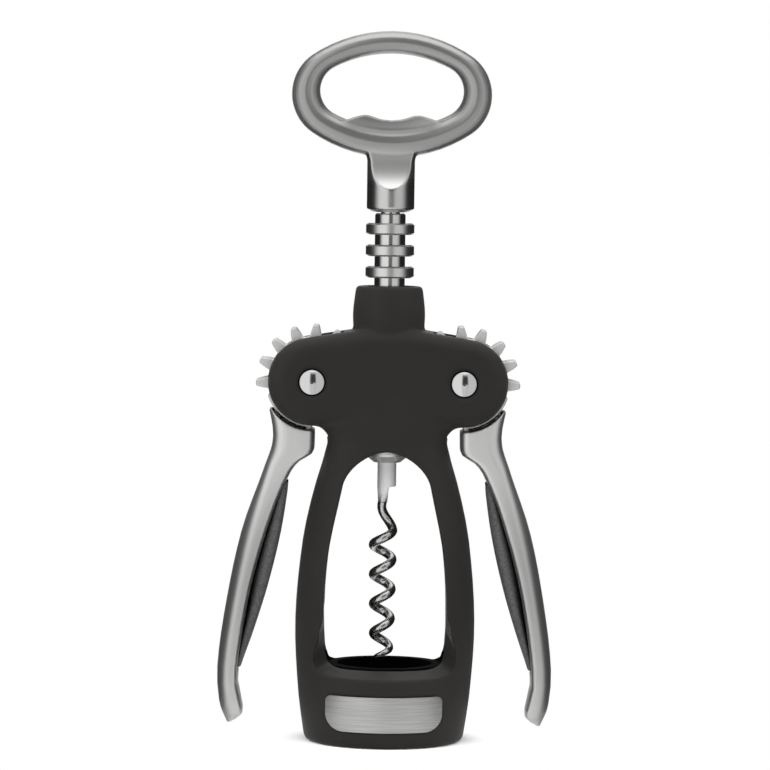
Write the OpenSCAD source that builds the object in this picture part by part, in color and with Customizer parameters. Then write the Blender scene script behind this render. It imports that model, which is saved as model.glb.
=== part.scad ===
// Wing corkscrew: a bell-shaped frame stands over the bottle neck, a ringed rack on the
// stem turns two toothed levers, and the worm hangs from a spindle that the handle turns.
// Front is -Y, up is +Z, and the origin is the middle of the rim that stands on the bottle.

/* [Frame] */
// Height of the lever pins above the bottom rim
pin_z = 95.3; // [88:0.5:116]
// Widest diameter of the bell
bell_d = 47.6; // [44:0.2:57]
// Height of the bell's widest level
bell_z = 32; // [27:1:39]
// Diameter of the bottom rim
rim_d = 42; // [41:0.2:51]
// Width of the waist under the hub
waist_w = 31.5; // [27:0.5:38]
// Depth of the waist, front to back
waist_depth = 23; // [20:0.5:28]
// Radius of the hub's round ends
hub_r = 11.7; // [10:0.1:13.5]
// Depth of the hub, front to back
hub_depth = 21.6; // [20:0.2:26]
// Rounding of the hub's edges
hub_edge = 4.5; // [3:0.25:5.5]
// Diameter of the neck that guides the stem
neck_d = 19.2; // [17:0.2:23.4]
// Height of the neck's top above the pins
neck_rise = 25.3; // [21:0.2:28]
// Width of the window
window_w = 32.4; // [27:0.2:34]
// Height of the window's sill
sill_z = 20.5; // [17:0.5:24.5]

/* [Bottle collar] */
// Bore that the bottle's neck enters
bottle_d = 30.4; // [27:0.2:31]
// Hole that the cork passes
cork_d = 25.2; // [21:0.2:27]
// Wall of the collar
collar_wall = 1.8; // [1.5:0.1:2.2]
// Thickness of the ledge that stops on the bottle's lip
ledge_t = 3.2; // [2.6:0.1:3.8]

/* [Rack and gears] */
// Pitch of the rack's rings and of the levers' teeth
tooth_pitch = 5.7; // [4.8:0.1:6.8]
// Outer diameter of the rack's rings
rack_d = 12.8; // [11.4:0.1:15.6]
// Diameter between the rings
root_d = 8.1; // [7.6:0.1:9.2]
// Width of a ring at its tip
ring_tip = 2.2; // [1.7:0.1:2.4]
// Number of rings
ring_count = 9; // [8:1:10]
// Teeth that a whole gear would have
gear_teeth = 15; // [14:1:17]
// Teeth that each lever has
tooth_count = 9; // [8:1:9]
// Thickness of the gear between the hub's cheeks
gear_t = 9.6; // [8:0.2:11.4]
// How far a tooth reaches past the pitch line
addendum = 1.25; // [1.2:0.05:1.6]

/* [Levers] */
// Depth of a lever at its head
head_depth = 15; // [13:0.5:18]
// Widest depth of a lever, where the hand presses
grip_depth = 17.2; // [15:0.2:20.5]
// Distance from the pin down to the lever's tip
lever_reach = 91; // [78:1:109]
// Thickness of the metal behind the insert
lever_back = 2.4; // [1.8:0.1:2.9]
// Thickness of the flanges beside the insert
flange_t = 2; // [1.6:0.1:2.4]

/* [Pins] */
// Diameter of the lever pins
pin_d = 4.8; // [4:0.1:5.4]
// Diameter of their domed heads
head_d = 7.8; // [6:0.1:8]

/* [Stem] */
// Diameter of the spindle and of the worm's shank
spindle_d = 5; // [4.2:0.1:5.8]
// Diameter of the ferrule that joins the worm to the spindle
ferrule_d = 12; // [9.8:0.2:12.4]
// Height of the ferrule's lower end
ferrule_z = 73.9; // [70:0.5:78]

/* [Worm] */
// Outer diameter of the worm
worm_d = 7.8; // [6.2:0.1:8.8]
// Pitch of the worm
worm_pitch = 7.85; // [6.6:0.05:9.4]
// Diameter of its wire
wire_d = 2.5; // [2.1:0.1:2.9]
// Height of the worm's tip
tip_z = 21.7; // [20.6:0.1:26]
// Full turns between the lead-in and the last half turn
full_turns = 4; // [3:1:4]
// How far the worm's axis lies beside the spindle's
worm_offset = 0.8; // [0:0.1:1]

/* [Handle] */
// Width of the ring
ring_w = 52.8; // [46:0.2:62]
// Height of the ring
ring_h = 33.4; // [30:0.2:40]
// Height of the ring's middle above the collar's lower end
ring_lift = 31; // [29:0.2:38]
// Width of the ring's band at its sides
band_side = 7.5; // [6.4:0.1:9]
// Width of the ring's band at its top
band_top = 6; // [5:0.1:7.2]
// Thickness of the ring, front to back
ring_t = 8.4; // [7:0.2:10]
// Diameter of the handle's collar
boss_d = 12.6; // [11.6:0.1:13.3]
// Bare length of the stem between its last ring and the collar
bare_stem = 2.8; // [1:0.1:6]
// Thickness of the bottle opener's web
web_t = 3.6; // [3:0.2:5]

/* [Badge] */
// Width of the plate
badge_w = 30.6; // [26:0.2:36]
// Height of the plate
badge_h = 9.4; // [8:0.1:11]
// Height of the plate's lower edge above the rim
badge_z = 4.5; // [3:0.1:5.5]
// Thickness of the plate
badge_t = 0.8; // [0.6:0.05:1]

/* [Fits] */
// Radial gap of a turning or sliding fit
run_gap = 0.06; // [0.03:0.01:0.1]
// Radial gap of the stem in the neck
stem_gap = 0.25; // [0.2:0.05:0.4]
// Gap beside a moving gear, and between stacked moving pieces
side_gap = 0.3; // [0.25:0.05:0.5]
// Gap between pieces that are pressed or stuck together
press_gap = 0.02; // [0.01:0.01:0.05]

/* [Hidden] */
$fn = 96;

// Frame
rim_r = rim_d / 2;
bell_r = bell_d / 2;
hub_bottom = pin_z - hub_r;
waist_fillet = 4.4;
waist_z = hub_bottom - waist_fillet;
neck_top = pin_z + neck_rise;
shoulder_rise = 2.4;
window_top = waist_z - 2;
stem_bore_r = max(rack_d, boss_d) / 2 + stem_gap;
lip_r = bottle_d / 2 + 0.3;
collar_r = bottle_d / 2 + collar_wall;
lip_z = sill_z - ledge_t;

// Gears: the pitch line of the rack is its outer diameter
rack_r = rack_d / 2;
pitch_r = gear_teeth * tooth_pitch / (2 * PI);
pin_x = pitch_r + rack_r;
gear_tip_r = pitch_r + addendum;
gear_root_r = pitch_r - 2.1;
link_r = hub_r + 0.6;          // the plain part of the gear shows under the hub's edge
groove_depth = 1.8;           // of the groove that parts the gear from the lever's head
rack_lift = 0.45;             // rise of the rings' middles above whole pitches from the pins
gear_lead = 0.6 + rack_lift / pitch_r * 180 / PI;  // turn of the teeth that fits them between the rings
slot_r = gear_tip_r + 0.4;
head_gap_r = hub_r + 1.2;     // the lever's head starts clear of the hub's round end
pin_r = pin_d / 2;
head_sink = 0.8;              // depth of the counterbore round a pin's head
head_dome_h = 1.3;

// Badge
badge_proud = 0.25;            // how far the plate stands out of the bell
badge_gap = press_gap + 0.08;

// Stem
spindle_r = spindle_d / 2;
ring_base = ring_tip + 1;
ring_chamfer = 0.6;
first_ring = -1;              // the ring below the pins
first_ring_z = pin_z + rack_lift + first_ring * tooth_pitch;
sleeve_bottom = first_ring_z - ring_base / 2 - 1.3;
last_ring_z = first_ring_z + (ring_count - 1) * tooth_pitch;
boss_z = last_ring_z + ring_base / 2 + bare_stem;
sleeve_top = boss_z - side_gap;
ferrule_top = sleeve_bottom - side_gap;
joint_z = (ferrule_z + ferrule_top) / 2;
shank_len = 6.5;              // bare shank under the ferrule
shank_z = ferrule_z - shank_len;

// Smooth curve through a table of [place, value] rows
function row_slope(t, i) =
    let (a = max(i - 1, 0), b = min(i + 1, len(t) - 1))
    (t[b][1] - t[a][1]) / (t[b][0] - t[a][0]);
function row_of(t, x, i = 0) = i >= len(t) - 2 || x <= t[i + 1][0] ? i : row_of(t, x, i + 1);
function along(t, x) =
    let (i = row_of(t, x), h = t[i + 1][0] - t[i][0], s = (x - t[i][0]) / h)
    t[i][1] * (2 * s^3 - 3 * s^2 + 1) + t[i + 1][1] * (3 * s^2 - 2 * s^3)
    + h * (row_slope(t, i) * (s^3 - 2 * s^2 + s) + row_slope(t, i + 1) * (s^3 - s^2));

// Point at angle a on a rounded rectangle of half sizes p and q: n = 2 is an ellipse
function super_point(p, q, n, a) =
    [p * sign(cos(a)) * pow(abs(cos(a)), 2 / n), q * sign(sin(a)) * pow(abs(sin(a)), 2 / n)];

// Closed skin over a stack of outlines that have the same number of points
function total(v) = [for (p = v) 1] * v;
module skin(outlines, looped = false) {
    n = len(outlines[0]);
    m = len(outlines);
    first = outlines[0];
    middle = total(first) / n;
    facing = total([for (j = [0 : n - 1]) cross(first[j] - middle, first[(j + 1) % n] - middle)]);
    forward = facing * (total(outlines[1]) / n - middle) > 0;
    points = concat([for (o = outlines) for (p = o) p], [middle, total(outlines[m - 1]) / n]);
    sides = [for (i = [0 : m - (looped ? 1 : 2)], j = [0 : n - 1])
        let (a = i * n + j, b = i * n + (j + 1) % n,
             c = ((i + 1) % m) * n + (j + 1) % n, d = ((i + 1) % m) * n + j)
        each [[a, b, c], [a, c, d]]];
    ends = looped ? [] : [for (j = [0 : n - 1])
        each [[m * n, (j + 1) % n, j], [m * n + 1, (m - 1) * n + j, (m - 1) * n + (j + 1) % n]]];
    polyhedron(looped ? [for (i = [0 : m * n - 1]) points[i]] : points,
        [for (f = concat(sides, ends)) forward ? [f[2], f[1], f[0]] : f]);
}

module along_y(length) rotate([90, 0, 0]) linear_extrude(length, center = true) children();
module pin_axis_cylinder(r, length) rotate([90, 0, 0]) cylinder(r = r, h = length, center = true);
module both_pins() for (side = [-1, 1]) translate([side * pin_x, 0, pin_z]) children();

// ---- Frame ----

bell_fall = bell_r - waist_w / 2;
bell_rise = waist_z - bell_z;
depth_fall = bell_r - waist_depth / 2;
// Half width and half depth of the bell, from the rim up into the hub
bell_half_w = [[0, rim_r], [0.4 * bell_z, bell_r - 0.36 * (bell_r - rim_r)], [bell_z, bell_r],
    [bell_z + 0.44 * bell_rise, bell_r - 0.21 * bell_fall],
    [bell_z + 0.71 * bell_rise, bell_r - 0.53 * bell_fall],
    [bell_z + 0.91 * bell_rise, bell_r - 0.87 * bell_fall],
    [waist_z, waist_w / 2]];
bell_half_d = [[0, rim_r], [0.4 * bell_z, bell_r - 0.36 * (bell_r - rim_r)], [bell_z, bell_r],
    [bell_z + 0.35 * bell_rise, bell_r - 0.2 * depth_fall],
    [bell_z + 0.71 * bell_rise, bell_r - 0.68 * depth_fall],
    [waist_z, waist_depth / 2]];
bell_square = [[0, 2], [bell_z + 0.3 * bell_rise, 2], [waist_z, 3.4]];
rim_round = 1.3;

function bell_section(z, w, d, n) = [for (a = [0 : 4 : 356])
    let (p = super_point(w, d, n, a)) [p[0], p[1], z]];
function rim_section(a) = let (z = rim_round * (1 - cos(a)), in = rim_round * (1 - sin(a)))
    bell_section(z, along(bell_half_w, z) - in, along(bell_half_d, z) - in, 2);
// The waist spreads outwards into the hub's underside
function flare_section(a) = bell_section(waist_z + waist_fillet * sin(a),
    waist_w / 2 + waist_fillet * (1 - cos(a)), waist_depth / 2 - 0.4 * sin(a), 3.4);

module bell_body() {
    steps = 15;
    skin(concat([for (a = [0, 45]) rim_section(a)],
        [for (i = [0 : steps]) let (z = rim_round + (waist_z - rim_round) * i / steps)
            bell_section(z, along(bell_half_w, z), along(bell_half_d, z), along(bell_square, z))],
        [for (a = [25, 50, 70, 86]) flare_section(a)],
        [bell_section(pin_z - 4, waist_w / 2, hub_depth / 2 - 0.6, 3.4)]));
}

module rounded_disc(r, depth, edge) {
    rotate([90, 0, 0]) rotate_extrude($fn = 48)
        polygon(concat([[0, -depth / 2], [0, depth / 2]],
            [for (a = [90 : -18 : 0]) [r - edge + edge * cos(a), depth / 2 - edge + edge * sin(a)]],
            [for (a = [0 : -18 : -90]) [r - edge + edge * cos(a), edge - depth / 2 + edge * sin(a)]]));
}

// Round ends on the pins, and a slightly raised middle that carries the neck
module hub_body() {
    hull() {
        both_pins() rounded_disc(hub_r, hub_depth, hub_edge);
        for (side = [-1, 1])
            translate([side * (neck_d / 2 - hub_edge), 0, pin_z + shoulder_rise])
                rounded_disc(hub_r, hub_depth, hub_edge);
    }
}

module neck_body() {
    barrel = [[pin_z, neck_d / 2 - 0.2], [pin_z + 0.6 * neck_rise, neck_d / 2 - 0.15],
        [pin_z + 0.72 * neck_rise, neck_d / 2], [neck_top - 1, neck_d / 2 - 0.7]];
    rotate_extrude()
        polygon(concat([[0, pin_z], [neck_d / 2 - 0.2, pin_z]],
            [for (i = [0 : 6]) let (z = pin_z + 10 + (neck_rise - 11) * i / 6) [along(barrel, z), z]],
            [for (a = [30, 60, 90]) [neck_d / 2 - 1.7 + cos(a), neck_top - 1 + sin(a)]],
            [[0, neck_top]]));
}

// Outline of the window, anticlockwise from the lower right corner
window_half = [[sill_z, window_w / 2 - 0.6], [0.44 * (sill_z + waist_z) - 8, window_w / 2],
    [sill_z + 0.53 * (waist_z - sill_z), window_w / 2 - 1.3],
    [sill_z + 0.79 * (waist_z - sill_z), window_w / 2 - 4.4]];
arch_z = sill_z + 0.79 * (waist_z - sill_z);
arch_half = window_w / 2 - 4.4;
sill_corner = 4.6;
function window_side() = let (flat = window_w / 2 - 0.4 - sill_corner) concat(
    [for (k = [1 : 2 : 5]) [flat * k / 6, sill_z]],
    [for (a = [-90 : 22.5 : -22.5])
        [flat + sill_corner * cos(a), sill_z + sill_corner * (1 + sin(a))]],
    [for (i = [0 : 9]) let (z = sill_z + sill_corner + (arch_z - sill_z - sill_corner) * i / 9)
        [along(window_half, z), z]],
    [for (a = [15 : 12 : 87]) let (p = super_point(arch_half, window_top - arch_z, 1.75, a))
        [p[0], arch_z + p[1]]]);
// The sill and its lower corners spread towards the bell's face, as a shallow bevel all round
bevel_drop = 3;
bevel_flare = 0.125;
function spread(z) = max(0, 1 - (z - sill_z) / 13);
// The outline laid on a cylinder of radius r, in front of the axis (face -1) or behind it (1)
function window_outline(face, r, bevel) = let (side = window_side(), mid_z = sill_z + 14,
    both = concat(side, [for (i = [len(side) - 1 : -1 : 0]) [-side[i][0], side[i][1]]]))
    [for (p = both) let (k = bevel * spread(p[1]), x = p[0] * (1 + bevel_flare * k))
        [x, face * sqrt(max(r^2 - x^2, 16)), p[1] - k * max(0, (mid_z - p[1]) / 14)]];

module window_cutter() {
    out = bell_r + 2;
    in = lip_r - 0.4;
    front = window_outline(-1, out, bevel_drop);
    rear = window_outline(1, out, bevel_drop);
    // Flat ends beyond the bell's face
    skin([[for (p = front) [p[0], -out - 1, p[2]]], front, window_outline(-1, in, 0),
          window_outline(1, in, 0), rear, [for (p = rear) [p[0], out + 1, p[2]]]]);
}

module frame() {
    color("#2f2e2d") difference() {
        union() {
            bell_body();
            hub_body();
            neck_body();
        }
        window_cutter();
        translate([0, 0, window_top - 6]) cylinder(r = stem_bore_r, h = neck_top - window_top + 8);
        both_pins() {
            pin_axis_cylinder(slot_r, gear_t + 2 * side_gap);
            pin_axis_cylinder(pin_r + press_gap, hub_depth + 2);
            for (face = [-1, 1]) translate([0, face * hub_depth / 2, 0])
                pin_axis_cylinder(head_d / 2 + 0.35, 2 * head_sink);
        }
        translate([0, 0, -1]) cylinder(r = collar_r + press_gap, h = lip_z + 1);
        cylinder(r = lip_r, h = sill_z + 2);
        badge_form(badge_gap, badge_gap, 3);
    }
}

// ---- Bottle collar: pushed up into the bell, its ledge stops on the bottle's lip ----

module bottle_collar() {
    foot = 1;
    color("#191919") difference() {
        union() {
            translate([0, 0, foot]) cylinder(r = collar_r, h = lip_z - foot - press_gap);
            translate([0, 0, foot]) cylinder(r = lip_r - press_gap, h = sill_z - foot);
        }
        translate([0, 0, foot - 1]) cylinder(r = bottle_d / 2, h = lip_z - foot + 1);
        cylinder(r = cork_d / 2, h = sill_z + 1);
        translate([0, 0, foot - 0.01]) cylinder(r1 = bottle_d / 2 + 0.9, r2 = bottle_d / 2, h = 1.2);
    }
}

// ---- Badge: a bare brushed plate, bent to the bell and set in a shallow recess ----

module badge_outline(grow) {
    w = badge_w / 2 + grow;
    top = badge_z + badge_h + grow;
    low = badge_z - grow;
    low_r = 4.6;
    top_r = 1.6;
    square_w = w - low_r;
    translate([-square_w, low]) square([2 * square_w, top - low]);
    translate([-w, low + low_r]) square([2 * w, top - low - low_r - top_r]);
    translate([-w + top_r, low + low_r]) square([2 * (w - top_r), top - low - low_r]);
    for (side = [-1, 1]) {
        translate([side * (w - low_r), low + low_r]) circle(low_r);
        translate([side * (w - top_r), top - top_r]) circle(top_r);
    }
}

// The plate's own form, or with grow, deeper and out the recess that it sits in
module badge_form(grow = 0, deeper = 0, out = 0) {
    margin = 1;
    low = badge_z - margin;
    top = badge_z + badge_h + margin;
    intersection() {
        rotate_extrude() polygon([for (row = [[low, 0], [low, 1], [top, 1], [top, 0]])
            [along(bell_half_w, row[0]) + badge_proud + (row[1] == 0 ? -badge_t - deeper : out), row[0]]]);
        translate([0, -bell_r, 0]) along_y(2 * bell_r - 4) badge_outline(grow);
    }
}

module badge() {
    color("#b9b7b2") badge_form();
}

// ---- Levers: drawn for the left side, from the pin outwards (u) and down (w) ----

reach_k = lever_reach / 91;
head_half = head_depth / 2;
grip_half = grip_depth / 2;
lever_outer = [[4, 12.1], [14.9, 10.2], [23.4, 12.6], [39.3 * reach_k, 18.1],
    [58 * reach_k, 22], [76 * reach_k, 24.3], [86 * reach_k, 23.6], [lever_reach, 21.6]];
metal_inner = [[4, -0.7], [16.8, -0.8], [19.2, -0.2], [21.2, 3], [24, 5.3], [34 * reach_k, 9.5],
    [52 * reach_k, 14.8], [70 * reach_k, 18], [81 * reach_k, 18.8], [88.6 * reach_k, 17.5],
    [lever_reach, 20.8]];
insert_inner = [[25 * reach_k, 6], [29 * reach_k, 6.2], [41 * reach_k, 8], [54 * reach_k, 11],
    [66 * reach_k, 14.6], [75 * reach_k, 17.7], [79 * reach_k, 18.9]];
lever_half = [[4, head_half], [16, head_half], [30, head_half - 0.1], [50 * reach_k, grip_half - 0.3],
    [64 * reach_k, grip_half], [80 * reach_k, head_half - 0.4], [88 * reach_k, 5.2],
    [lever_reach, 2.6]];
pocket_from = 26.5 * reach_k;
pocket_to = 77 * reach_k;

function arc_points(u, y, r, a0, a1, n) =
    [for (i = [0 : n]) let (a = a0 + (a1 - a0) * i / n) [u + r * cos(a), y + r * sin(a)]];
// Section of the lever: well rounded on the outer side, squarer on the inner side
outer_square = [[7, 5], [20, 4.5], [38 * reach_k, 2.6], [lever_reach, 2.4]];
function lever_section(w) =
    let (uo = along(lever_outer, w), ui = min(along(metal_inner, w), uo - 0.4), h = along(lever_half, w),
         mid = ui + 0.36 * (uo - ui), n = along(outer_square, w))
    [for (p = concat([for (a = [-90 : 9 : 90]) super_point(uo - mid, h, n, a)],
        [for (a = [99 : 9 : 261]) super_point(mid - ui, h, 4.5, a)]))
        [-mid - p[0], p[1], -w]];

head_steps = [7.4, 9.5, 12, 14.5, 16.8, 18, 19.2, 20.2, 21.2, 22.4, 24, 27];
module lever_arm() {
    steps = 13;
    skin([for (w = concat(head_steps, [for (i = [1 : steps]) 27 + (85 * reach_k - 27) * i / steps],
        [for (w = [87, 88.6, 89.9, 90.7, 91]) w * reach_k])) lever_section(w)]);
}

module lever_teeth() {
    for (k = [0 : tooth_count - 1])
        rotate(-180 / gear_teeth + gear_lead + k * 360 / gear_teeth)
            polygon([[gear_root_r - 1, 1.7], [gear_root_r - 1, -1.7], [pitch_r - 0.6, -1.25],
                [gear_tip_r - 0.3, -0.8], [gear_tip_r, -0.6], [gear_tip_r, 0.6],
                [gear_tip_r - 0.3, 0.8], [pitch_r - 0.6, 1.25]]);
}

module lever_gear() {
    circle(gear_root_r);
    lever_teeth();
    polygon(concat([[0, 0]], [for (a = [198 : 9 : 270]) link_r * [cos(a), sin(a)]]));
}

module pocket_cutter() {
    steps = 12;
    levels = [for (i = [0 : steps]) pocket_from + (pocket_to - pocket_from) * i / steps];
    along_y(head_depth - 2 * flange_t - 0.2) polygon(concat(
        [for (w = levels) [-along(lever_outer, w) + lever_back, -w]],
        [for (i = [steps : -1 : 0]) [-along(metal_inner, levels[i]) + 4, -levels[i]]]));
}

module left_lever_metal() {
    translate([-pin_x, 0, pin_z]) difference() {
        union() {
            difference() {
                lever_arm();
                pin_axis_cylinder(head_gap_r, head_depth + 4);
            }
            along_y(gear_t) lever_gear();
            // The web between gear and head, thinned where a groove parts the two
            along_y(gear_t - 2 * groove_depth)
                polygon([[0, 0], [-9, -6], [-9.6, -15], [-2, -16.5], [-0.4, -15]]);
        }
        pin_axis_cylinder(pin_r + run_gap, head_depth + 4);
        pocket_cutter();
    }
}

// Crowned moulding that fills the channel and stands proud of it for the palm
module left_lever_insert_form() {
    steps = 18;
    half = head_half - flange_t - 0.1 - press_gap;
    gap = press_gap + 0.05;
    translate([-pin_x, 0, pin_z]) skin([for (i = [0 : steps])
        let (w = pocket_from + gap + (pocket_to - pocket_from - 2 * gap - 0.9) * i / steps,
             uo = along(lever_outer, w) - lever_back - gap - 0.15,
             ui = min(along(insert_inner, w), along(metal_inner, w) - 0.05),
             r = min(2.4, 0.45 * (uo - ui)))
        [for (p = concat([[uo, half], [(2 * uo + ui) / 3, half]],
            arc_points(ui + r, half - r, r, 90, 180, 5),
            arc_points(ui + r, r - half, r, 180, 270, 5), [[(2 * uo + ui) / 3, -half], [uo, -half]]))
            [-p[0], p[1], -w]]]);
}

module left_lever() { color("#b4b2ae") left_lever_metal(); }
module right_lever() { color("#b4b2ae") mirror([1, 0, 0]) left_lever_metal(); }
module left_lever_insert() { color("#4f4f4f") left_lever_insert_form(); }
module right_lever_insert() { color("#4f4f4f") mirror([1, 0, 0]) left_lever_insert_form(); }

// ---- Pins: domed rivets pressed through both cheeks, closed by domed caps at the back ----

module dome() {
    foot_r = head_d / 2;
    ball_r = (foot_r^2 + head_dome_h^2) / (2 * head_dome_h);
    intersection() {
        translate([0, 0, head_dome_h - ball_r]) sphere(ball_r);
        cylinder(r = foot_r - 0.05, h = head_dome_h + 1);
    }
}

seat_y = hub_depth / 2 - head_sink;
cap_hold = 0.35;              // length of the pin inside its cap
module pin_form(side) {
    translate([side * pin_x, 0, pin_z]) {
        translate([0, -seat_y, 0]) rotate([90, 0, 0]) dome();
        translate([0, (cap_hold - 0.3) / 2, 0]) pin_axis_cylinder(pin_r, 2 * seat_y + cap_hold + 0.3);
    }
}

module cap_form(side) {
    translate([side * pin_x, seat_y, pin_z]) rotate([-90, 0, 0]) difference() {
        dome();
        translate([0, 0, -1]) cylinder(r = pin_r + press_gap, h = cap_hold + 1 + press_gap);
    }
}

module left_pin() { color("#d8d8d8") pin_form(-1); }
module right_pin() { color("#d8d8d8") pin_form(1); }
module left_pin_cap() { color("#d8d8d8") cap_form(-1); }
module right_pin_cap() { color("#d8d8d8") cap_form(1); }

// ---- Stem ----

// The rings are turned all round, so the stem meshes with both levers however it is turned
module rack_sleeve() {
    root_r = root_d / 2;
    bore_r = spindle_r + run_gap;
    end = 0.4;
    rings = [for (k = [0 : ring_count - 1]) first_ring_z + k * tooth_pitch];
    side = [[root_r, ring_base / 2],
        [rack_r - ring_chamfer, ring_base / 2 - 0.08],
        [rack_r, ring_tip / 2]];
    color("#a7a6a3") rotate_extrude() polygon(concat(
        [[bore_r, sleeve_bottom], [root_r - end, sleeve_bottom], [root_r, sleeve_bottom + end]],
        [for (z = rings) each concat([for (p = side) [p[0], z - p[1]]],
            [for (i = [2 : -1 : 0]) [side[i][0], z + side[i][1]]])],
        [[root_r, sleeve_top - end], [root_r - end, sleeve_top], [bore_r, sleeve_top]]));
}

module spindle() {
    color("#c4c4c4") translate([0, 0, joint_z + press_gap])
        cylinder(r = spindle_r, h = spindle_top - joint_z);
}

module ferrule() {
    r = ferrule_d / 2;
    chamfer_h = 1.7;
    color("#9c9b98") difference() {
        rotate_extrude() polygon([[0, ferrule_z], [spindle_r + 1.1, ferrule_z],
            [r - 0.3, ferrule_z + chamfer_h], [r, ferrule_z + chamfer_h + 0.5],
            [r, ferrule_top - 0.6], [r - 0.6, ferrule_top], [0, ferrule_top]]);
        translate([0, 0, ferrule_z - 1])
            cylinder(r = spindle_r + press_gap, h = ferrule_top - ferrule_z + 2);
    }
}

// ---- Worm: a right-handed open helix of round wire, drawn to a point ----

helix_r = (worm_d - wire_d) / 2;
tip_fall = 2.7;                    // drop of the last half turn, which runs out flatter
helix_top = tip_z + tip_fall + full_turns * worm_pitch;
lead_in = shank_z - 3.4 - helix_top;
last_q = full_turns + 1;
tip_draw = 0.75;                   // turns over which the wire tapers to its point

// Middle of the wire: q from 0 to 0.5 is the lead-in, and from there one unit is one turn
function worm_z(q) = q < 0.5 ? helix_top + lead_in * (1 - 2 * q)
    : helix_top - min(q - 0.5, full_turns) * worm_pitch - max(0, q - 0.5 - full_turns) * 2 * tip_fall;
function worm_r(q) = q < 0.5 ? along([[0, 0.5], [0.25, 0.6 * helix_r], [0.5, helix_r]], q)
    : helix_r * (1 - 0.18 * (q - 0.5) / full_turns);
function worm_at(q) = let (a = 180 - 360 * q, k = worm_offset * min(1, 2 * q))
    [worm_r(q) * cos(a) - k - 0.4 * (1 - min(1, 2 * q)), worm_r(q) * sin(a), worm_z(q)];
function unit(v) = v / norm(v);
function wire_ring(q, r) = let (t = unit(worm_at(q + 0.01) - worm_at(q - 0.01)),
    side = unit(cross(t, [0, 0, 1] + (abs(t[2]) > 0.98 ? [0.5, 0, 0] : [0, 0, 0]))), up = cross(side, t))
    [for (a = [0 : 30 : 330]) worm_at(q) + r * (cos(a) * side + sin(a) * up)];

module worm() {
    per_turn = 16;
    stations = last_q * per_turn;
    color("#8f8f8f") {
        translate([0, 0, shank_z]) cylinder(r = spindle_r, h = joint_z - shank_z - press_gap);
        // The shank is cut away on one side where the wire leaves it
        hull() {
            translate([0, 0, shank_z]) intersection() {
                cylinder(r = spindle_r, h = 0.2, $fn = 32);
                translate([-spindle_r - 1, -spindle_r - 1, -1])
                    cube([spindle_r + 1.6, 2 * spindle_r + 2, 3]);
            }
            translate([worm_at(0.02)[0], 0, worm_z(0.02) - 0.4])
                cylinder(r = wire_d / 2, h = 0.4, $fn = 32);
        }
        skin([for (i = [0 : stations]) let (q = 0.02 + (last_q - 0.02) * i / stations, left = last_q - q)
            wire_ring(q, wire_d / 2 * (left > tip_draw ? 1 : 0.06 + 0.94 * sqrt(left / tip_draw)))]);
    }
}

// ---- Handle: a cast ring with a bottle opener inside, on a collar that takes the spindle ----

ring_z = boss_z + ring_lift;
hole_h = ring_h / 2 - band_top;       // from the hole's middle to its top
hole_half = hole_h - 0.9;
hole_z = ring_z + 0.9;
opener_z = hole_z - 0.79 * hole_half;
spindle_top = boss_z + 9.4;
boss_top = ring_z - ring_h / 2 + 0.3;
scoop_y = 3.3;                        // half thickness of the collar left under the ring
scoop_h = 8.5;
scoop_d = boss_d / 2 - scoop_y;
scoop_r = (scoop_h^2 + scoop_d^2) / (2 * scoop_d);

end_r = 12.5;                         // radius of the ring's ends

// Four-arc oval: half width w, half height h, end radius r, at outward normal angle a
function oval_R(w, h, r) = ((w - r)^2 + h^2 - r^2) / (2 * (h - r));
function oval_point(w, h, r, a) =
    let (big = oval_R(w, h, r), switch = atan2(big - h, w - r),
         fold = abs(abs(a) > 90 ? 180 - abs(a) : abs(a)))
    fold < switch ? [sign(cos(a)) * (w - r) + r * cos(a), r * sin(a)]
                  : [big * cos(a), -sign(sin(a)) * (big - h) + big * sin(a)];

function band_section(a) =
    let (o = oval_point(ring_w / 2, ring_h / 2, end_r, a) + [0, ring_z],
         i = oval_point(ring_w / 2 - band_side, hole_half, 6.8, a) + [0, hole_z],
         mid = (o + i) / 2, out = (o - i) / 2)
    [for (b = [0 : 22.5 : 337.5]) let (p = super_point(1, ring_t / 2, 2.35, b))
        [mid[0] + out[0] * p[0], -p[1], mid[1] + out[1] * p[0]]];

// The web's faces slope away from the ring, turned about the centre of the ring's lower curve
module opener_web() {
    lip = [[0, 0], [3, 0.35], [6.7, 1.4], [10, 0.7], [13, -0.4], [16, -1.2], [20, -1.6]];
    edge = [for (x = [-19 : 1 : 19]) [x, opener_z + along(lip, abs(x))]];
    centre_z = ring_z - ring_h / 2 + oval_R(ring_w / 2, ring_h / 2, end_r);
    lip_rho = centre_z - opener_z - 1.4;
    ring_rho = centre_z - ring_z + (ring_h + hole_half) / 4 + 4;
    thick_end = ring_t / 2 - 0.2;
    slope = [for (i = [0 : 8]) let (k = i / 8)
        [lip_rho + k * (ring_rho - lip_rho), web_t / 2 + (thick_end - web_t / 2) * sin(90 * k)^1.6]];
    intersection() {
        along_y(ring_t) intersection() {
            polygon(concat(edge, [[19, ring_z - ring_h], [-19, ring_z - ring_h]]));
            polygon([for (a = [-180 : 7.5 : 172.5])
                oval_point(ring_w / 2 - band_side + 2.5, hole_half + 2.5, 9.3, a + 0.01) + [0, hole_z]]);
        }
        translate([0, 0, centre_z]) rotate([90, 0, 0]) rotate_extrude()
            polygon(concat([[0, -web_t / 2], [0, web_t / 2]], slope,
                [[ring_rho + 9, thick_end], [ring_rho + 9, -thick_end]],
                [for (i = [8 : -1 : 0]) [slope[i][0], -slope[i][1]]]));
    }
}

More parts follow.
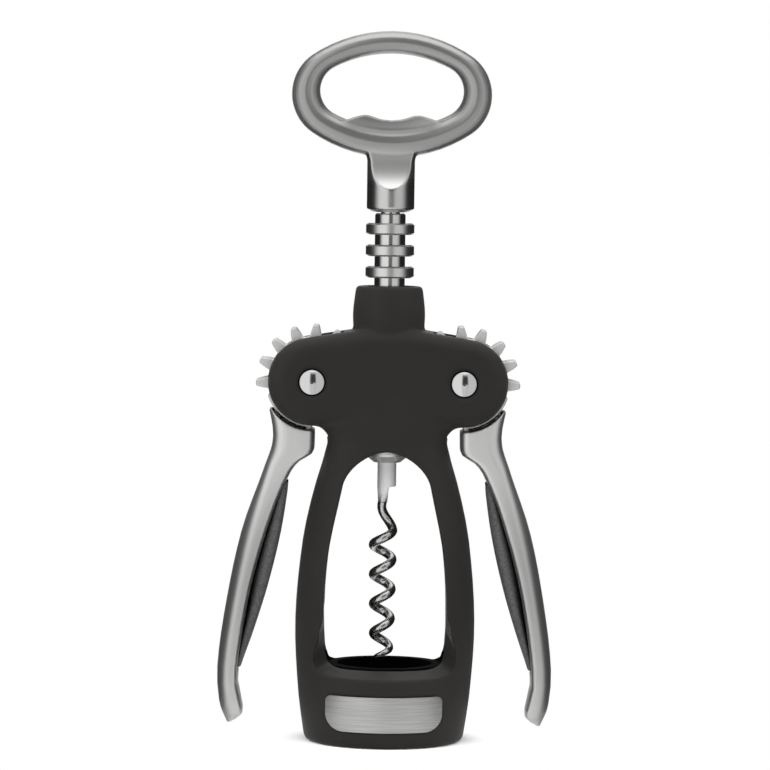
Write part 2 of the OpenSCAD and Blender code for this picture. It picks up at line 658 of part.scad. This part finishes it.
// Scoops the collar at the front and back, from the ring down to a round-bottomed end
module scoop_cutter() {
    for (face = [-1, 1]) {
        translate([0, face * (scoop_y + scoop_r), boss_top]) rotate([0, 90, 0])
            cylinder(r = scoop_r, h = boss_d + 2, center = true);
        translate([-boss_d, face > 0 ? scoop_y : -scoop_y - scoop_r, boss_top])
            cube([2 * boss_d, scoop_r, 2]);
    }
}

module handle() {
    r = boss_d / 2;
    color("#a9a8a5") {
        difference() {
            rotate_extrude() polygon([[0, boss_z], [r - 1.6, boss_z], [r, boss_z + 0.9],
                [r, boss_top - 1],
                [r + 0.5, boss_top + 1.2], [0, boss_top + 1.2]]);
            scoop_cutter();
            translate([0, 0, boss_z - 1])
                cylinder(r = spindle_r + press_gap, h = spindle_top - boss_z + 1 + press_gap);
        }
        skin([for (a = [-180 : 5 : 175]) band_section(a + 0.01)], looped = true);
        opener_web();
    }
}

frame();
bottle_collar();
badge();
left_lever();
right_lever();
left_lever_insert();
right_lever_insert();
left_pin();
right_pin();
left_pin_cap();
right_pin_cap();
rack_sleeve();
ferrule();
spindle();
worm();
handle();
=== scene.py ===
import math
import bpy
from mathutils import Matrix, Vector

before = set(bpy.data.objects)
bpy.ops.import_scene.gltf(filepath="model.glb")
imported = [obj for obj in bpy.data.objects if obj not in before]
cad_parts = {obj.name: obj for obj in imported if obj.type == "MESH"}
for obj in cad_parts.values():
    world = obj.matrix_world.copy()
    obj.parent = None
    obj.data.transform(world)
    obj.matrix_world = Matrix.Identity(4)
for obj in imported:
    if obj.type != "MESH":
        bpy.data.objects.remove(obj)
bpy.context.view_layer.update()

# ---- Studio ----
# The corkscrew stands on a pale table before a white backdrop. Two tall soft boxes light it from
# the front and a wide one from above. The room at its sides is dim, which gives polished metal its
# dark edges.

mm = 0.001
smooth = {"interpolation_type": "SMOOTHSTEP"}


def srgb(hex_colour):
    """Linear colour of an sRGB hex value."""
    parts = [int(hex_colour[i:i + 2], 16) / 255 for i in (1, 3, 5)]
    return [c / 12.92 if c <= 0.04045 else ((c + 0.055) / 1.055) ** 2.4 for c in parts] + [1.0]


def add(tree, kind, inputs=None, **settings):
    """Adds a node, sets its properties, and fills its inputs; a node or socket there is linked."""
    node = tree.nodes.new(kind)
    for name, value in settings.items():
        setattr(node, name, value)
    for socket, value in (inputs or {}).items():
        if isinstance(value, bpy.types.Node):
            value = value.outputs[0]
        if isinstance(value, bpy.types.NodeSocket):
            tree.links.new(value, node.inputs[socket])
        else:
            node.inputs[socket].default_value = value
    return node


def new_material(name):
    """An empty material and its node tree."""
    material = bpy.data.materials.new(name)
    material.use_nodes = True
    material.node_tree.nodes.clear()
    return material, material.node_tree


# Matte seamless paper. Near the object it takes a soft shadow, and further out it sweeps up into
# the backdrop and reads as plain white, which the camera sees from closer in than the light does
seamless, tree = new_material("white_seamless_paper")
place = add(tree, "ShaderNodeTexCoord").outputs["Object"]
reach = add(tree, "ShaderNodeVectorMath", {0: place}, operation="LENGTH").outputs["Value"]
paths = add(tree, "ShaderNodeLightPath")
sweep = add(tree, "ShaderNodeMix", {"Factor": paths.outputs["Is Camera Ray"], "A": 70 * mm,
            "B": 28 * mm}, data_type="FLOAT")
far = add(tree, "ShaderNodeMapRange", {"Value": reach, "From Min": 21 * mm, "From Max": sweep},
          **smooth)
# Metal and glass show the white that lies straight behind the object
mirrored = add(tree, "ShaderNodeMath", {0: paths.outputs["Is Glossy Ray"],
               1: paths.outputs["Is Transmission Ray"]}, operation="MAXIMUM")
behind = add(tree, "ShaderNodeVectorMath", {0: place}, operation="NORMALIZE")
behind = add(tree, "ShaderNodeSeparateXYZ", {0: behind}).outputs["Y"]
behind = add(tree, "ShaderNodeMapRange", {"Value": behind, "From Min": 0.96, "From Max": 0.99})
mirrored = add(tree, "ShaderNodeMath", {0: mirrored, 1: behind}, operation="MULTIPLY")
looked_at = add(tree, "ShaderNodeMath", {0: paths.outputs["Is Camera Ray"], 1: mirrored},
                operation="MAXIMUM")
paper = add(tree, "ShaderNodeBsdfDiffuse", {"Color": srgb("#f4f4f4"), "Roughness": 1.0})
white = add(tree, "ShaderNodeEmission", {"Color": srgb("#ffffff"), "Strength": 1.0})
clear = add(tree, "ShaderNodeBsdfTransparent")
away = add(tree, "ShaderNodeMixShader", {0: looked_at, 1: clear, 2: white})
sheet = add(tree, "ShaderNodeMixShader", {0: far, 1: paper, 2: away})
add(tree, "ShaderNodeOutputMaterial", {"Surface": sheet})

half_side = 3.0
corners = [(-half_side, -half_side, 0), (half_side, -half_side, 0),
           (half_side, half_side, 0), (-half_side, half_side, 0)]
table_mesh = bpy.data.meshes.new("table")
table_mesh.from_pydata(corners, [], [(0, 1, 2, 3)])
table_mesh.materials.append(seamless)
table = bpy.data.objects.new("table", table_mesh)
# A hair's breadth under the bell's rim, so that the two faces don't fight
table.location.z = -0.05 * mm
bpy.context.scene.collection.objects.link(table)

room = bpy.data.worlds.new("studio_room")
room.use_nodes = True
room.node_tree.nodes.clear()
tree = room.node_tree
# The room's light goes by a ray's heading, and by the same heading once it is levelled
ray = add(tree, "ShaderNodeTexCoord").outputs["Generated"]
heading = add(tree, "ShaderNodeSeparateXYZ", {0: ray})
level = add(tree, "ShaderNodeVectorMath", {0: ray, 1: (1, 1, 0)}, operation="MULTIPLY")
level = add(tree, "ShaderNodeVectorMath", {0: level}, operation="NORMALIZE")
level = add(tree, "ShaderNodeSeparateXYZ", {0: level})
# Two tall soft boxes stand in front
front = add(tree, "ShaderNodeMapRange", {"Value": level.outputs["Y"], "From Min": -0.65,
            "From Max": -0.05, "To Min": 1.0, "To Max": 0.0}, **smooth)
# The gap between them is dark for rays that head up, and rays that head down find the table's
# bounce there
gap_middle = 0.08
off_gap = add(tree, "ShaderNodeMath", {0: level.outputs["X"], 1: gap_middle}, operation="SUBTRACT")
off_gap = add(tree, "ShaderNodeMath", {0: off_gap}, operation="ABSOLUTE")
in_gap = add(tree, "ShaderNodeMapRange", {"Value": heading.outputs["Z"], "From Min": -0.15,
             "From Max": 0.0, "To Min": 0.75, "To Max": 0.03}, **smooth)
beside_gap = add(tree, "ShaderNodeMapRange", {"Value": off_gap, "From Min": 0.17, "From Max": 0.31},
                 **smooth)
gap = add(tree, "ShaderNodeMath", {0: in_gap, 1: beside_gap}, operation="MAXIMUM")
boxes = add(tree, "ShaderNodeMath", {0: front, 1: gap}, operation="MULTIPLY")
# The right box is the dimmer one
dimmer = add(tree, "ShaderNodeMapRange", {"Value": level.outputs["X"], "From Min": 0.1,
             "From Max": 0.5, "To Min": 1.0, "To Max": 0.72}, **smooth)
boxes = add(tree, "ShaderNodeMath", {0: boxes, 1: dimmer}, operation="MULTIPLY")
# A wide soft box hangs overhead and ends short of the backdrop
ceiling = add(tree, "ShaderNodeMapRange", {"Value": heading.outputs["Z"], "From Min": 0.5,
              "From Max": 0.95, "To Min": 0.0, "To Max": 1.8}, **smooth)
short_of_back = add(tree, "ShaderNodeMapRange", {"Value": heading.outputs["Y"], "From Min": 0.5,
                    "From Max": 0.85, "To Min": 1.0, "To Max": 0.0}, **smooth)
overhead = add(tree, "ShaderNodeMath", {0: ceiling, 1: short_of_back}, operation="MULTIPLY")
boxes = add(tree, "ShaderNodeMath", {0: boxes, 1: overhead}, operation="MAXIMUM")
# The white backdrop straight behind the object shows in metal and glass too
paths = add(tree, "ShaderNodeLightPath")
mirrored = add(tree, "ShaderNodeMath", {0: paths.outputs["Is Glossy Ray"],
               1: paths.outputs["Is Transmission Ray"]}, operation="MAXIMUM")
backdrop = add(tree, "ShaderNodeMapRange", {"Value": level.outputs["Y"], "From Min": 0.96,
               "From Max": 0.99}, **smooth)
backdrop = add(tree, "ShaderNodeMath", {0: mirrored, 1: backdrop}, operation="MULTIPLY")
boxes = add(tree, "ShaderNodeMath", {0: boxes, 1: backdrop}, operation="MAXIMUM")
# A little stray light fills the rest of the room
stray_light = 0.02
boxes = add(tree, "ShaderNodeMath", {0: boxes, 1: stray_light}, operation="ADD")
# Matte finishes gather the light of the whole tent, which is stronger from above and from the sides
from_above = add(tree, "ShaderNodeMapRange", {"Value": heading.outputs["Z"], "From Min": -0.1,
                 "From Max": 0.9, "To Min": 0.6, "To Max": 1.6}, **smooth)
sideways = add(tree, "ShaderNodeMath", {0: heading.outputs["X"]}, operation="ABSOLUTE")
from_sides = add(tree, "ShaderNodeMapRange", {"Value": sideways, "From Min": 0.3, "From Max": 0.95,
                 "To Min": 0.0, "To Max": 2.0}, **smooth)
tent = add(tree, "ShaderNodeMath", {0: from_above, 1: from_sides}, operation="ADD")
light = add(tree, "ShaderNodeMix", {"Factor": paths.outputs["Is Diffuse Ray"], "A": boxes, "B": tent},
            data_type="FLOAT")
shown = add(tree, "ShaderNodeMix", {"Factor": paths.outputs["Is Camera Ray"], "A": light, "B": 1.0},
            data_type="FLOAT")
glow = add(tree, "ShaderNodeBackground", {"Color": srgb("#ffffff"), "Strength": shown})
add(tree, "ShaderNodeOutputWorld", {"Surface": glow})
bpy.context.scene.world = room

# A weak lamp, in front and high on the left, keys the light and casts a soft shadow
key_lamp = bpy.data.lights.new("key_box", "AREA")
key_lamp.shape = "RECTANGLE"
key_lamp.size = 0.5
key_lamp.size_y = 0.9
key_lamp.energy = 1.2
key_place = Vector((-0.7, -0.9, 0.75))
key_target = Vector((0, 0, 0.1))
key_box = bpy.data.objects.new("key_box", key_lamp)
key_box.location = key_place
key_box.rotation_mode = "QUATERNION"
key_box.rotation_quaternion = (key_target - key_place).to_track_quat("-Z", "Y")
# Polished metal shows the soft boxes, not this lamp
key_box.visible_glossy = False
bpy.context.scene.collection.objects.link(key_box)

lens = bpy.data.cameras.new("camera")
lens.lens = 203.5
lens.sensor_width = 36
camera = bpy.data.objects.new("camera", lens)
eye = Matrix.Translation((-0.81 * mm, -1150 * mm, 160 * mm))
tilt = Matrix.Rotation(math.radians(90 - 3.27), 4, "X")
roll = Matrix.Rotation(math.radians(0.79), 4, "Z")
camera.matrix_world = eye @ tilt @ roll
bpy.context.scene.collection.objects.link(camera)
bpy.context.scene.camera = camera
bpy.context.scene.view_settings.view_transform = "Standard"

# ---- Frame ----
# One zinc casting: bell, hub and neck, sprayed with a charcoal soft-touch coating. The thick
# coating rounds every edge over about half a millimetre.


def finish_node(name, material):
    """Gives a part its finish."""
    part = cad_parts[name]
    part.data.materials.clear()
    part.data.materials.append(material)
    return part


def soften(part, voxel, passes):
    """Rounds the edges of a casting or moulding: an even skin of voxel size, smoothed."""
    skin = part.modifiers.new("even_skin", "REMESH")
    skin.mode = "VOXEL"
    skin.voxel_size = voxel
    skin.use_smooth_shade = True
    ease = part.modifiers.new("eased_edges", "SMOOTH")
    ease.factor = 0.5
    ease.iterations = passes


# Soft-touch coating: a deep, warm grey that hardly shines, with faint clouds of tone
soft_touch, tree = new_material("soft_touch_charcoal_coating")
place = add(tree, "ShaderNodeTexCoord").outputs["Object"]
# Sprayed grain of about 0.25 mm, drawn twice as coarse so that it shows, and clouds of 25 mm
grain = add(tree, "ShaderNodeTexNoise", {"Vector": place, "Scale": 1 / (0.5 * mm), "Detail": 2.0})
cloud = add(tree, "ShaderNodeTexNoise", {"Vector": place, "Scale": 1 / (25 * mm), "Detail": 3.0})
tone = add(tree, "ShaderNodeValToRGB", {"Fac": cloud.outputs["Fac"]})
dark, pale = tone.color_ramp.elements
dark.position, dark.color = 0.3, srgb("#21201e")
pale.position, pale.color = 0.7, srgb("#262422")
bumps = add(tree, "ShaderNodeBump", {"Height": grain.outputs["Fac"], "Strength": 0.12,
            "Distance": 0.05 * mm})
coating = add(tree, "ShaderNodeBsdfPrincipled", {"Base Color": tone, "Roughness": 0.5,
              "Specular IOR Level": 0.13, "Sheen Weight": 0.06, "Sheen Roughness": 0.4,
              "Normal": bumps})
# Painted shade: inside the bell, below the window's sill, the coating is drawn near-black where
# the bell's inside lies in shadow
painted_shade_inside = add(tree, "ShaderNodeBsdfDiffuse", {"Color": srgb("#060606"), "Roughness": 1.0})
flat = add(tree, "ShaderNodeMapping", {"Vector": place, "Scale": (1, 1, 0)})
radius = add(tree, "ShaderNodeVectorMath", {0: flat}, operation="LENGTH").outputs["Value"]
height = add(tree, "ShaderNodeSeparateXYZ", {0: place}).outputs["Z"]
in_bore = add(tree, "ShaderNodeMapRange", {"Value": radius, "From Min": 16 * mm,
              "From Max": 16.6 * mm, "To Min": 1.0, "To Max": 0.0}, **smooth)
under_sill = add(tree, "ShaderNodeMapRange", {"Value": height, "From Min": 26 * mm,
                 "From Max": 34 * mm, "To Min": 1.0, "To Max": 0.0}, **smooth)
inside = add(tree, "ShaderNodeMath", {0: in_bore, 1: under_sill}, operation="MULTIPLY")
skin = add(tree, "ShaderNodeMixShader", {0: inside, 1: coating, 2: painted_shade_inside})
add(tree, "ShaderNodeOutputMaterial", {"Surface": skin})
soften(finish_node("frame", soft_touch), voxel=0.4 * mm, passes=16)

# ---- Bottle collar ----
# A black nylon sleeve, moulded and pushed up into the bell. It centres the bottle's lip, and its
# face lies dark behind the worm.

# Moulded nylon with a spark-eroded face: black, with no shine
collar_black, tree = new_material("moulded_black_nylon")
place = add(tree, "ShaderNodeTexCoord").outputs["Object"]
# Mould grain of about 0.2 mm, drawn four times as coarse so that it shows
grain = add(tree, "ShaderNodeTexNoise", {"Vector": place, "Scale": 1 / (0.8 * mm), "Detail": 2.0})
bumps = add(tree, "ShaderNodeBump", {"Height": grain.outputs["Fac"], "Strength": 0.1,
            "Distance": 0.05 * mm})
nylon = add(tree, "ShaderNodeBsdfPrincipled", {"Base Color": srgb("#060606"), "Roughness": 0.9,
            "Specular IOR Level": 0.05, "Normal": bumps})
add(tree, "ShaderNodeOutputMaterial", {"Surface": nylon})
finish_node("bottle_collar", collar_black)

# ---- Badge ----
# A bare stainless plate, bent to the bell and set in its recess. Its face is brushed from side
# to side.

# Brushed stainless steel: a pale grey face with fine level lines and a soft, spread-out shine
plate_steel, tree = new_material("brushed_stainless_plate")
place = add(tree, "ShaderNodeTexCoord").outputs["Object"]
# Brush lines about 0.15 mm apart and 12 mm long, drawn 0.3 mm apart so that they show
strokes = add(tree, "ShaderNodeMapping", {"Vector": place, "Scale": (0.08, 0.08, 3.3)})
lines = add(tree, "ShaderNodeTexNoise", {"Vector": strokes, "Scale": 1 / (1 * mm), "Detail": 3.0})
wear = add(tree, "ShaderNodeMapRange", {"Value": lines.outputs["Fac"], "From Min": 0.3,
           "From Max": 0.7, "To Min": 0.3, "To Max": 0.46})
bumps = add(tree, "ShaderNodeBump", {"Height": lines.outputs["Fac"], "Strength": 0.15,
            "Distance": 0.02 * mm})
worn = add(tree, "ShaderNodeMapRange", {"Value": lines.outputs["Fac"], "From Min": 0.35,
           "From Max": 0.65}, **smooth)
tone = add(tree, "ShaderNodeMix", {0: worn, 6: srgb("#a6a6a5"), 7: srgb("#b8b8b7")},
           data_type="RGBA").outputs[2]
steel = add(tree, "ShaderNodeBsdfPrincipled", {"Base Color": tone, "Metallic": 1.0,
            "Roughness": wear, "Normal": bumps})
add(tree, "ShaderNodeOutputMaterial", {"Surface": steel})
finish_node("badge", plate_steel)

# ---- Pins ----
# Domed rivets through the hub, each closed behind by a cap of the same dome. Both are polished
# and chrome plated.

pin_x, pin_z = 20 * mm, 95.3 * mm

# Chrome over a polished dome: bright, and sharp enough to mirror the soft boxes
pin_chrome, tree = new_material("polished_chrome_plate")
place = add(tree, "ShaderNodeTexCoord").outputs["Object"]
# Polishing haze in patches of about 2 mm
haze = add(tree, "ShaderNodeTexNoise", {"Vector": place, "Scale": 1 / (2 * mm), "Detail": 3.0})
polish = add(tree, "ShaderNodeMapRange", {"Value": haze.outputs["Fac"], "To Min": 0.08,
             "To Max": 0.16})
chrome = add(tree, "ShaderNodeBsdfPrincipled", {"Base Color": srgb("#d2d2d2"), "Metallic": 1.0,
             "Roughness": polish})
# The dome's edge turns down into the hub, and a near-black ring is painted there: painted shade
across = add(tree, "ShaderNodeVectorMath", {0: place}, operation="ABSOLUTE")
across = add(tree, "ShaderNodeVectorMath", {0: across, 1: (pin_x, 0, pin_z)}, operation="SUBTRACT")
across = add(tree, "ShaderNodeVectorMath", {0: across, 1: (1, 0, 1)}, operation="MULTIPLY")
from_axis = add(tree, "ShaderNodeVectorMath", {0: across}, operation="LENGTH").outputs["Value"]
painted_shade_ring = add(tree, "ShaderNodeMapRange", {"Value": from_axis, "From Min": 3.1 * mm,
            "From Max": 3.3 * mm}, **smooth)
painted_shade_black = add(tree, "ShaderNodeBsdfDiffuse", {"Color": srgb("#040404"), "Roughness": 1.0})
head = add(tree, "ShaderNodeMixShader", {0: painted_shade_ring, 1: chrome, 2: painted_shade_black})
add(tree, "ShaderNodeOutputMaterial", {"Surface": head})
for name in ("left_pin", "right_pin", "left_pin_cap", "right_pin_cap"):
    finish_node(name, pin_chrome)

# ---- Rack sleeve, spindle and ferrule ----
# The sleeve and the spindle are turned from steel bar, and the spindle turns inside the sleeve.
# The zinc-plated ferrule under the hub joins the spindle to the worm.

# Turned steel: the rings' rims are left satin, and the roots between them shine
turned_steel, tree = new_material("turned_satin_steel")
place = add(tree, "ShaderNodeTexCoord").outputs["Object"]
flat = add(tree, "ShaderNodeMapping", {"Vector": place, "Scale": (1, 1, 0)})
radius = add(tree, "ShaderNodeVectorMath", {0: flat}, operation="LENGTH").outputs["Value"]
rim = add(tree, "ShaderNodeMapRange", {"Value": radius, "From Min": 5 * mm, "From Max": 6 * mm,
          "To Min": 0.14, "To Max": 0.3})
steel = add(tree, "ShaderNodeBsdfPrincipled", {"Base Color": srgb("#d6d6d5"), "Metallic": 1.0,
            "Roughness": rim})
add(tree, "ShaderNodeOutputMaterial", {"Surface": steel})
for name in ("rack_sleeve", "spindle"):
    finish_node(name, turned_steel)

# Zinc plate: paler and hazier than the steel above it
zinc, tree = new_material("hazy_zinc_plate")
place = add(tree, "ShaderNodeTexCoord").outputs["Object"]
# Plating bloom in patches of about 1.5 mm
bloom = add(tree, "ShaderNodeTexNoise", {"Vector": place, "Scale": 1 / (1.5 * mm), "Detail": 3.0})
dullness = add(tree, "ShaderNodeMapRange", {"Value": bloom.outputs["Fac"], "To Min": 0.34,
               "To Max": 0.42})
plate = add(tree, "ShaderNodeBsdfPrincipled", {"Base Color": srgb("#e6e6e5"), "Metallic": 0.95,
            "Roughness": dullness})
add(tree, "ShaderNodeOutputMaterial", {"Surface": plate})
finish_node("ferrule", zinc)

# ---- Worm ----
# Round steel wire wound right-handed and drawn to a point. The helix is chrome plated, and the
# straight shank above it is drawn as a near-white matte: painted light against the hub's shade.

# Thin chrome over drawn wire: darker and a little softer than the pins
wire_chrome, tree = new_material("dark_chrome_wire")
place = add(tree, "ShaderNodeTexCoord").outputs["Object"]
height = add(tree, "ShaderNodeSeparateXYZ", {0: place}).outputs["Z"]
# Drawing marks make the gloss drift over about 3 mm
haze = add(tree, "ShaderNodeTexNoise", {"Vector": place, "Scale": 1 / (3 * mm), "Detail": 3.0})
polish = add(tree, "ShaderNodeMapRange", {"Value": haze.outputs["Fac"], "To Min": 0.22,
             "To Max": 0.32})
wire = add(tree, "ShaderNodeBsdfPrincipled", {"Base Color": srgb("#c8c7c6"), "Metallic": 1.0,
           "Roughness": polish})
# Painted light: above about 64 mm the shank is a near-white matte, so it reads pale in shade
shank_painted_light = add(tree, "ShaderNodeBsdfPrincipled", {"Base Color": srgb("#f8f8f8"), "Roughness": 0.6})
on_shank = add(tree, "ShaderNodeMapRange", {"Value": height, "From Min": 63 * mm,
               "From Max": 66 * mm})
both = add(tree, "ShaderNodeMixShader", {0: on_shank, 1: wire, 2: shank_painted_light})
add(tree, "ShaderNodeOutputMaterial", {"Surface": both})
soften(finish_node("worm", wire_chrome), voxel=0.16 * mm, passes=14)

# ---- Handle ----
# A zinc casting with satin nickel plate: the ring with its opener web, on a collar that takes
# the spindle.

scoop_foot, scoop_full = 147 * mm, 150 * mm
collar_top, ring_foot = 154 * mm, 158 * mm
opening_half_width, opening_half_height, opening_middle = 18 * mm, 8.3 * mm, 171.05 * mm

# Satin nickel: soft grey light without a mirror's edge
satin_nickel, tree = new_material("satin_nickel_plate")
place = add(tree, "ShaderNodeTexCoord").outputs["Object"]
height = add(tree, "ShaderNodeSeparateXYZ", {0: place}).outputs["Z"]
# Bead blasting leaves pits of about 0.1 mm, drawn four times as coarse so that they show
blast = add(tree, "ShaderNodeTexNoise", {"Vector": place, "Scale": 1 / (0.4 * mm), "Detail": 2.0})
bumps = add(tree, "ShaderNodeBump", {"Height": blast.outputs["Fac"], "Strength": 0.08,
            "Distance": 0.03 * mm})
# The collar is polished up to its top, and the ring is left satin, which reads darker
satin = add(tree, "ShaderNodeMapRange", {"Value": height, "From Min": collar_top,
            "From Max": ring_foot}, **smooth)
tone = add(tree, "ShaderNodeMix", {0: satin, 6: srgb("#cacac9"), 7: srgb("#a2a2a1")},
           data_type="RGBA").outputs[2]
# Painted shade: the rim's inner edge in front of the opener web is toned darker, so it shows no
# bright line
oval = add(tree, "ShaderNodeMapping", {"Vector": place,
           "Scale": (1 / opening_half_width, 0, 1 / opening_half_height),
           "Location": (0, 0, -opening_middle / opening_half_height)})
oval = add(tree, "ShaderNodeVectorMath", {0: oval}, operation="LENGTH").outputs["Value"]
past_edge = add(tree, "ShaderNodeMapRange", {"Value": oval, "From Min": 1.04, "From Max": 1.14},
                **smooth)
near_edge = add(tree, "ShaderNodeMapRange", {"Value": oval, "From Min": 1.22, "From Max": 1.36,
                "To Min": 1.0, "To Max": 0.0}, **smooth)
painted_shade_band = add(tree, "ShaderNodeMath", {0: past_edge, 1: near_edge}, operation="MULTIPLY")
across = add(tree, "ShaderNodeSeparateXYZ", {0: place}).outputs["X"]
across = add(tree, "ShaderNodeMath", {0: across}, operation="ABSOLUTE")
mid_web = add(tree, "ShaderNodeMapRange", {"Value": across, "From Min": 10 * mm,
              "From Max": 15 * mm, "To Min": 1.0, "To Max": 0.0}, **smooth)
painted_shade_band = add(tree, "ShaderNodeMath", {0: painted_shade_band, 1: mid_web}, operation="MULTIPLY")
low_edge = add(tree, "ShaderNodeMapRange", {"Value": height, "From Min": 168 * mm,
               "From Max": 170 * mm, "To Min": 1.0, "To Max": 0.0}, **smooth)
painted_shade_band = add(tree, "ShaderNodeMath", {0: painted_shade_band, 1: low_edge}, operation="MULTIPLY")
tone = add(tree, "ShaderNodeMix", {0: painted_shade_band, 6: tone, 7: srgb("#7a7a79")},
           data_type="RGBA").outputs[2]
# The scoop in the collar's front is matte, so its light fades slowly up from the foot
scoop = add(tree, "ShaderNodeMapRange", {"Value": height, "From Min": scoop_foot,
            "From Max": scoop_full, "To Min": 0.0, "To Max": 0.12}, **smooth)
below_ring = add(tree, "ShaderNodeMapRange", {"Value": height, "From Min": collar_top,
                 "From Max": ring_foot, "To Min": 1.0, "To Max": 0.0}, **smooth)
scoop = add(tree, "ShaderNodeMath", {0: scoop, 1: below_ring}, operation="MULTIPLY")
wear = add(tree, "ShaderNodeMapRange", {"Value": satin, "To Min": 0.26, "To Max": 0.3}, **smooth)
wear = add(tree, "ShaderNodeMath", {0: wear, 1: scoop}, operation="ADD")
metal = add(tree, "ShaderNodeMapRange", {"Value": satin, "To Min": 1.0, "To Max": 0.84}, **smooth)
nickel = add(tree, "ShaderNodeBsdfPrincipled", {"Base Color": tone, "Metallic": metal,
             "Roughness": wear, "Normal": bumps})
add(tree, "ShaderNodeOutputMaterial", {"Surface": nickel})
soften(finish_node("handle", satin_nickel), voxel=0.25 * mm, passes=8)

# ---- Levers ----
# Zinc castings with satin nickel plate. Each carries its gear, and a channel along the inner side
# holds the grip moulding.

# Satin nickel as on the handle, and rougher: the teeth are left as they come from the tumbler
lever_nickel, tree = new_material("satin_nickel_lever_plate")
place = add(tree, "ShaderNodeTexCoord").outputs["Object"]
# Pits of about 0.1 mm, drawn four times as coarse so that they show
blast = add(tree, "ShaderNodeTexNoise", {"Vector": place, "Scale": 1 / (0.4 * mm), "Detail": 2.0})
bumps = add(tree, "ShaderNodeBump", {"Height": blast.outputs["Fac"], "Strength": 0.1,
            "Distance": 0.03 * mm})
height = add(tree, "ShaderNodeSeparateXYZ", {0: place}).outputs["Z"]
tumbled = add(tree, "ShaderNodeMapRange", {"Value": height, "From Min": 86 * mm,
              "From Max": 89 * mm, "To Min": 0.48, "To Max": 0.62}, **smooth)
# Painted light and shade: the tone is lighter at the head and darker down the arm
painted_light_toward_head = add(tree, "ShaderNodeMapRange", {"Value": height, "From Min": 45 * mm, "From Max": 75 * mm},
            **smooth)
tone = add(tree, "ShaderNodeMix", {0: painted_light_toward_head, 6: srgb("#c6c6c5"), 7: srgb("#e2e2e1")},
           data_type="RGBA").outputs[2]
nickel = add(tree, "ShaderNodeBsdfPrincipled", {"Base Color": tone, "Metallic": 1.0,
             "Roughness": tumbled, "Normal": bumps})
# Painted shade: ambient occlusion turns the head near-black where it runs close under the hub
painted_shade_occlusion = add(tree, "ShaderNodeAmbientOcclusion", {"Distance": 3 * mm}, samples=8)
painted_shade_under_hub = add(tree, "ShaderNodeMapRange", {"Value": painted_shade_occlusion.outputs["AO"], "From Min": 0.1,
            "From Max": 0.26, "To Min": 1.0, "To Max": 0.0}, **smooth)
painted_shade_lever_black = add(tree, "ShaderNodeBsdfDiffuse", {"Color": srgb("#050505"), "Roughness": 1.0})
face = add(tree, "ShaderNodeMixShader", {0: painted_shade_under_hub, 1: nickel, 2: painted_shade_lever_black})
add(tree, "ShaderNodeOutputMaterial", {"Surface": face})
for name in ("left_lever", "right_lever"):
    soften(finish_node(name, lever_nickel), voxel=0.28 * mm, passes=3)

# ---- Grip inserts ----
# Soft grey rubber, moulded and pressed into the levers' channels. Each moulding is crowned for
# the palm and has a fine matte grain.

# Matte moulded rubber: a dark grey with a fine paler speckle and hardly any shine
grip_grey, tree = new_material("matte_grip_moulding")
place = add(tree, "ShaderNodeTexCoord").outputs["Object"]
# Mould grain of about 0.3 mm, drawn twice as coarse so that it shows
grain = add(tree, "ShaderNodeTexNoise", {"Vector": place, "Scale": 1 / (0.6 * mm), "Detail": 2.0})
bumps = add(tree, "ShaderNodeBump", {"Height": grain.outputs["Fac"], "Strength": 0.15,
            "Distance": 0.05 * mm})
speckle = add(tree, "ShaderNodeMapRange", {"Value": grain.outputs["Fac"], "From Min": 0.35,
              "From Max": 0.65}, **smooth)
tone = add(tree, "ShaderNodeMix", {0: speckle, 6: srgb("#505050"), 7: srgb("#636363")},
           data_type="RGBA").outputs[2]
grip = add(tree, "ShaderNodeBsdfPrincipled", {"Base Color": tone, "Roughness": 0.55,
           "Specular IOR Level": 0.3, "Normal": bumps})
# Painted shade: ambient occlusion darkens the groove along the arm's rim, within 4 mm of it
painted_shade_occlusion = add(tree, "ShaderNodeAmbientOcclusion", {"Distance": 4 * mm}, samples=8)
painted_shade_groove = add(tree, "ShaderNodeMapRange", {"Value": painted_shade_occlusion.outputs["AO"], "From Min": 0.78,
             "From Max": 0.9, "To Min": 1.0, "To Max": 0.0}, **smooth)
painted_shade_grip_black = add(tree, "ShaderNodeBsdfDiffuse", {"Color": srgb("#050505"), "Roughness": 1.0})
face = add(tree, "ShaderNodeMixShader", {0: painted_shade_groove, 1: grip, 2: painted_shade_grip_black})
add(tree, "ShaderNodeOutputMaterial", {"Surface": face})
for name in ("left_lever_insert", "right_lever_insert"):
    soften(finish_node(name, grip_grey), voxel=0.3 * mm, passes=5)
